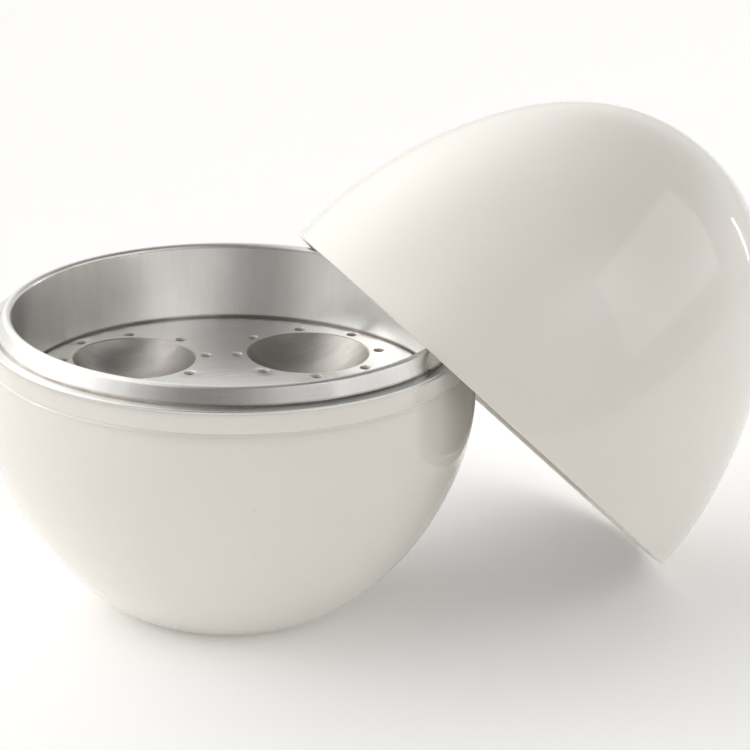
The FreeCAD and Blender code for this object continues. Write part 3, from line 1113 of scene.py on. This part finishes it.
    def punch_hole(self, skin: Skin, centre: Vector, border: list[int], below: int) -> range:
        """Rounds the punched hole's upper edge and closes its wall.

        Args:
            skin: the tray's mesh.
            centre: the hole's middle.
            border: the hole's border ring on the upper face.
            below: offset from a corner of the upper face to the lower one.

        Returns:
            The numbers of the wall's faces.
        """
        ring = border
        for angle in (math.radians(a) for a in (22.5, 45.0, 67.5, 90.0)):
            radius = self.hole_mouth - self.hole_round * math.sin(angle)
            height = self.top - self.hole_round * (1 - math.cos(angle))
            ring = skin.grow(ring, centre, radius, height)
        first = len(skin.faces)
        ring = skin.grow(ring, centre, self.hole_radius, self.under + self.hole_burr)
        skin.bridge(ring, [i + below for i in border])
        return range(first, len(skin.faces))

    def close_edge(self, skin: Skin, border: list[int], below: int) -> None:
        """Rounds the plate's outer edge.

        Args:
            skin: the tray's mesh.
            border: the upper face's outer ring.
            below: offset from a corner of the upper face to the lower one.
        """
        ring, soft = border, self.edge_round
        upper = [(self.top - soft, angle) for angle in (67.5, 45.0, 22.5, 0.0)]
        lower = [(self.under + soft, angle) for angle in (0.0, -22.5, -45.0, -67.5)]
        for level, angle in upper + lower:
            radius, height = around((self.radius - soft, level), soft, math.radians(angle))
            ring = skin.grow(ring, ORIGIN, radius, height)
        skin.bridge(ring, [i + below for i in border])



@dataclass
class UpperEggHalf:
    """Moulded upper half of the egg with the metal dome inside it, in millimetres."""

    height: float = 103.1
    rim_radius: float = 75.1
    bore_radius: float = 73.0
    wall: float = 2.4
    rim_round: float = 0.5
    side_lean: float = 4.0
    side_reach: float = 26.4
    crown_reach: float = 56.7
    dome_seat: float = 7.1
    sheet: float = 0.8
    dome_gap: float = 0.9
    dome_fit: float = 0.1
    groove_bite: float = 0.5
    dome_fillet: float = 1.0
    stance: Stance = Stance(centre=(80.2889, 0.0, 52.7109), lean=44.8)
    segments: int = 384

    @property
    def egg_poles(self) -> list[Point]:
        """The egg curve's poles, from the rim up."""
        lean = math.radians(self.side_lean)
        return [
            (self.rim_radius, 0.0),
            (self.rim_radius + self.side_reach * math.sin(lean), self.side_reach * math.cos(lean)),
            (self.crown_reach, self.height),
            (0.0, self.height),
        ]

    def shell_outline(self) -> Outline:
        """Draws the moulding's cross-section.

        Returns:
            The closed outline.
        """
        soft = self.rim_round
        groove_high = self.dome_seat + self.sheet + self.dome_fit
        groove_radius = self.bore_radius + self.groove_bite
        inside = poles_above(inset_poles(self.egg_poles, self.wall), groove_high)
        path = Outline(self.bore_radius + soft, 0.0)
        path.line(self.rim_radius - soft, 0.0, 2)
        outside = poles_above(self.egg_poles, soft)
        path.arc(outside[0][0], soft, soft, True, 6)
        path.curve(outside[1:3], outside[3], 150)
        path.points[-1] = (0.0, self.height)
        path.line(0.0, self.height - self.wall)
        path.curve([inside[2], inside[1]], inside[0], 80)
        path.line(groove_radius, groove_high, 2)
        path.line(groove_radius, self.dome_seat, 2)
        path.line(self.bore_radius, self.dome_seat)
        path.line(self.bore_radius, soft, 4)
        path.arc(self.bore_radius + soft, 0.0, soft, True, 6)
        return path

    def dome_outline(self) -> Outline:
        """Draws the metal dome's cross-section.

        Returns:
            The closed outline.
        """
        metal, fillet = self.sheet, self.dome_fillet
        inset = self.wall + self.dome_gap
        flange = self.bore_radius + self.groove_bite - self.dome_fit
        low, high = self.dome_seat, self.dome_seat + metal
        bend = high + fillet
        outer = poles_above(inset_poles(self.egg_poles, inset), bend)
        inner = poles_above(inset_poles(self.egg_poles, inset + metal), bend)
        outer_mouth, mouth = outer[0][0], inner[0][0]
        peak = self.height - inset
        path = Outline(mouth + fillet, low)
        path.line(flange, low, 3)
        path.line(flange, high, 2)
        path.line(outer_mouth + fillet, high, 2)
        path.arc(outer_mouth, bend, fillet, False, 6)
        path.curve(outer[1:3], (0.0, peak), 80)
        path.line(0.0, peak - metal)
        path.curve([inner[2], inner[1]], (mouth, bend), 110)
        path.line(mouth, low + fillet, 2)
        path.arc(mouth + fillet, low, fillet, True, 8)
        return path

    def build(self, plastic: Material, metal: Material) -> None:
        """Makes, leans and dresses the moulding and the dome.

        Args:
            plastic: finish of the moulding.
            metal: finish of the dome.
        """
        shell = turned_piece("lid_moulding", self.shell_outline(), self.segments, self.stance)
        dress(shell, plastic, "lid_shell")
        dome = turned_piece(
            "lid_dome", self.dome_outline(), self.segments, self.stance, ripple(8.1, 0.04, 40.0)
        )
        dress(dome, metal, "lid_liner")


# Studio


@dataclass(frozen=True)
class PhotoCamera:
    """The camera that matches the photograph, as fitted to the object's outlines."""

    focal_px: float = 3457.85
    frame_px: float = 750.0
    sensor_mm: float = 36.0
    elevation: float = 19.668
    roll: float = 0.991
    offset_mm: Triple = (-44.181, 65.541, 1050.7)

    def build(self) -> None:
        """Makes the camera and hands it to the scene."""
        rise, turn, roll = (math.radians(a) for a in (self.elevation, VIEW_TURN, self.roll))
        look = Matrix((
            (1.0, 0.0, 0.0),
            (0.0, -math.sin(rise), -math.cos(rise)),
            (0.0, math.cos(rise), -math.sin(rise)),
        ))
        level = Matrix.Rotation(roll, 3, "Z")
        facing = level @ look @ Matrix.Rotation(turn, 3, "Z")
        centre = -(facing.transposed() @ Vector(self.offset_mm)) * MM
        axes = Matrix((facing[0], -facing[1], -facing[2])).transposed().to_4x4()
        data = bpy.data.cameras.new("photo_camera")
        data.sensor_width = self.sensor_mm
        data.lens = self.focal_px / self.frame_px * self.sensor_mm
        data.clip_start, data.clip_end = 0.05, 50.0
        camera = bpy.data.objects.new("photo_camera", data)
        bpy.context.scene.collection.objects.link(camera)
        camera.matrix_world = Matrix.Translation(centre) @ axes
        bpy.context.scene.camera = camera


@dataclass(frozen=True)
class Softbox:
    """One rectangular studio light, placed by where it stands round the object."""

    name: str
    azimuth: float
    elevation: float
    distance: float
    width: float
    height: float
    brightness: float

    def build(self, target: Vector) -> None:
        """Makes the light and points it at the object.

        Args:
            target: point that it faces.
        """
        away = direction(self.azimuth, self.elevation)
        data = bpy.data.lights.new(self.name, "AREA")
        data.shape = "RECTANGLE"
        data.size, data.size_y = self.width, self.height
        data.energy = self.brightness * math.pi * self.width * self.height
        light = bpy.data.objects.new(self.name, data)
        bpy.context.scene.collection.objects.link(light)
        light.matrix_world = Matrix.Translation(target + away * self.distance) @ (
            away.to_track_quat("Z", "Y").to_matrix().to_4x4()
        )


def direction(azimuth: float, elevation: float) -> Vector:
    """Finds the way towards a place round the object.

    Args:
        azimuth: degrees round from the camera's side, counter-clockwise from above.
        elevation: degrees above the floor.

    Returns:
        The direction, of length one.
    """
    turn, rise = math.radians(azimuth - VIEW_TURN), math.radians(elevation)
    return Vector((
        math.sin(turn) * math.cos(rise),
        -math.cos(turn) * math.cos(rise),
        math.sin(rise),
    ))


@dataclass(frozen=True)
class Glow:
    """A broad pool of light on the studio's white walls, placed by where it stands."""

    azimuth: float
    elevation: float
    brightness: float
    spread: float = 16.0

    def paint(self, nodes: Nodes, facing) -> NodeSocket:
        """Adds the pool to the surround.

        Args:
            nodes: the surround's nodes.
            facing: socket with the direction looked at.

        Returns:
            The socket with the pool's brightness.
        """
        towards = direction(self.azimuth, self.elevation)
        middle = nodes.add(
            "ShaderNodeVectorMath", {0: facing, 1: towards}, operation="DOT_PRODUCT"
        ).outputs["Value"]
        sharp = 1 / math.radians(self.spread) ** 2
        fall = nodes.sum("MULTIPLY", nodes.sum("SUBTRACT", middle, 1.0), sharp)
        return nodes.sum("MULTIPLY", nodes.sum("EXPONENT", fall, 0.0), self.brightness)


@dataclass(frozen=True)
class Studio:
    """Floor (in millimetres), surrounding light and softboxes."""

    target: Triple = (0.05, 0.0, 0.07)
    surround: float = 0.11
    glows: tuple[Glow, ...] = (
        Glow(-60.0, 8.0, 0.5),
        Glow(-90.0, 10.0, 1.2),
        Glow(-120.0, 10.0, 1.1),
        Glow(-150.0, 8.0, 0.8),
        Glow(-150.0, 36.0, 1.1),
        Glow(-120.0, 40.0, 1.2),
        Glow(-90.0, 32.0, 0.65),
        Glow(-65.0, 48.0, 1.35),
        Glow(-150.0, 64.0, 0.5),
        Glow(0.0, 88.0, 0.1),
        Glow(40.0, 42.0, 0.9, 12.0),
        Glow(180.0, 36.0, 0.2),
        Glow(180.0, 8.0, 0.5),
        Glow(150.0, 8.0, 0.5),
        Glow(120.0, 8.0, 0.9),
        Glow(93.0, 12.0, 0.4),
        Glow(60.0, 8.0, 0.35),
        Glow(30.0, 6.0, 0.4),
        Glow(0.0, 20.0, 0.15),
    )
    white: Colour = (1.0, 0.99, 0.975, 1.0)
    floor_reach: float = 6000.0
    floor_drop: float = 0.05
    floor_rings: int = 12
    floor_facets: int = 64
    boxes: tuple[Softbox, ...] = (
        Softbox("rear_right_box", 126.0, 6.0, 1.5, 0.04, 0.30, 8.0),
        Softbox("right_window", 78.0, 32.0, 1.5, 1.30, 1.00, 0.7),
        Softbox("left_box", -94.0, 17.0, 1.5, 0.20, 0.34, 3.0),
    )

    def build(self) -> None:
        """Makes the surrounding light, the softboxes and the floor."""
        scene = bpy.context.scene
        scene.world = self.paint_surround()
        scene.view_settings.view_transform = "Standard"
        for box in self.boxes:
            box.build(Vector(self.target))
        self.floor()
        log.info("studio: %d softboxes and a floor", len(self.boxes))

    def paint_surround(self) -> World:
        """Makes the white studio walls with their pools of light.

        Returns:
            The world.
        """
        world = bpy.data.worlds.new("studio_surround")
        world.use_nodes = True
        nodes = Nodes(world.node_tree)
        facing = nodes.add("ShaderNodeTexCoord").outputs["Generated"]
        total = self.surround
        for glow in self.glows:
            total = nodes.sum("ADD", total, glow.paint(nodes, facing))
        background = nodes.add("ShaderNodeBackground", {"Color": self.white, "Strength": total})
        nodes.add("ShaderNodeOutputWorld", {"Surface": background.outputs[0]})
        return world

    def floor(self) -> Object:
        """Makes the floor as a wide round sheet just under the object.

        Returns:
            The floor object.
        """
        sheet = Outline(self.floor_reach, -self.floor_drop)
        for ring in range(self.floor_rings - 1, -1, -1):
            sheet.line(self.floor_reach * (ring / self.floor_rings) ** 2, -self.floor_drop)
        floor = turned_piece("floor", sheet, self.floor_facets, closed=False)
        floor.data.materials.append(PaleFloor().make())
        return floor


def main() -> None:
    """Builds the studio and the three sub-assemblies, and reports each piece."""
    logging.basicConfig(level=logging.INFO, format="%(name)s: %(message)s")
    PhotoCamera().build()
    Studio().build()
    base = LowerEggHalf()
    # Both bowl finishes get painted shade in the collar's fillet and at the wall's foot by the tray.
    corners = base.shaded_corners()
    # The rim, collar and flange get a darker copy of the bowl's aluminium, painted shade that tones
    # down their highlights; the bowl's inside gets a lighter copy, painted light.
    collar = SheetAluminium(
        "collar_shaded_aluminium",
        Grain.ROUND_THE_AXIS,
        shaded_creases=corners,
        bright=(0.73, 0.725, 0.71, 1.0),
        dull=(0.67, 0.665, 0.645, 1.0),
        rough=(0.25, 0.32),
        stretch=0.7,
    )
    inside = SheetAluminium(
        "bowl_lit_aluminium",
        Grain.ROUND_THE_AXIS,
        shaded_creases=corners,
        bright=(0.92, 0.915, 0.90, 1.0),
        dull=(0.86, 0.855, 0.835, 1.0),
        rough=(0.28, 0.34),
        stretch=0.8,
    )
    base.build(MouldedPlastic("base_plastic").make(), collar.make(), inside.make())
    tray = EggTray(under=base.ledge_height, radius=base.wall_foot - TRAY_PLAY)
    pressed = SheetAluminium("pressed_aluminium", Grain.ALONG_THE_SHEET, stretch=0.0)
    # The dishes' upper faces get a darker, rougher copy of the tray's aluminium: painted shade for the
    # dark reflections in the hollows.
    dish_shade = SheetAluminium(
        "dish_shaded_aluminium",
        Grain.ALONG_THE_SHEET,
        bright=(0.50, 0.485, 0.46, 1.0),
        dull=(0.40, 0.375, 0.35, 1.0),
        rough=(0.34, 0.42),
        stretch=0.0,
    )
    tray.build(pressed.make(), PunchedEdge().make(), dish_shade.make())
    lid = UpperEggHalf()
    lid.build(
        MouldedPlastic("lid_plastic").make(),
        SheetAluminium(
            "dome_aluminium",
            Grain.ROUND_THE_AXIS,
            lid.stance,
            bright=(0.93, 0.925, 0.91, 1.0),
            dull=(0.88, 0.875, 0.855, 1.0),
            rough=(0.12, 0.18),
            stretch=0.0,
        ).make(),
    )


if __name__ == "__main__":
    main()
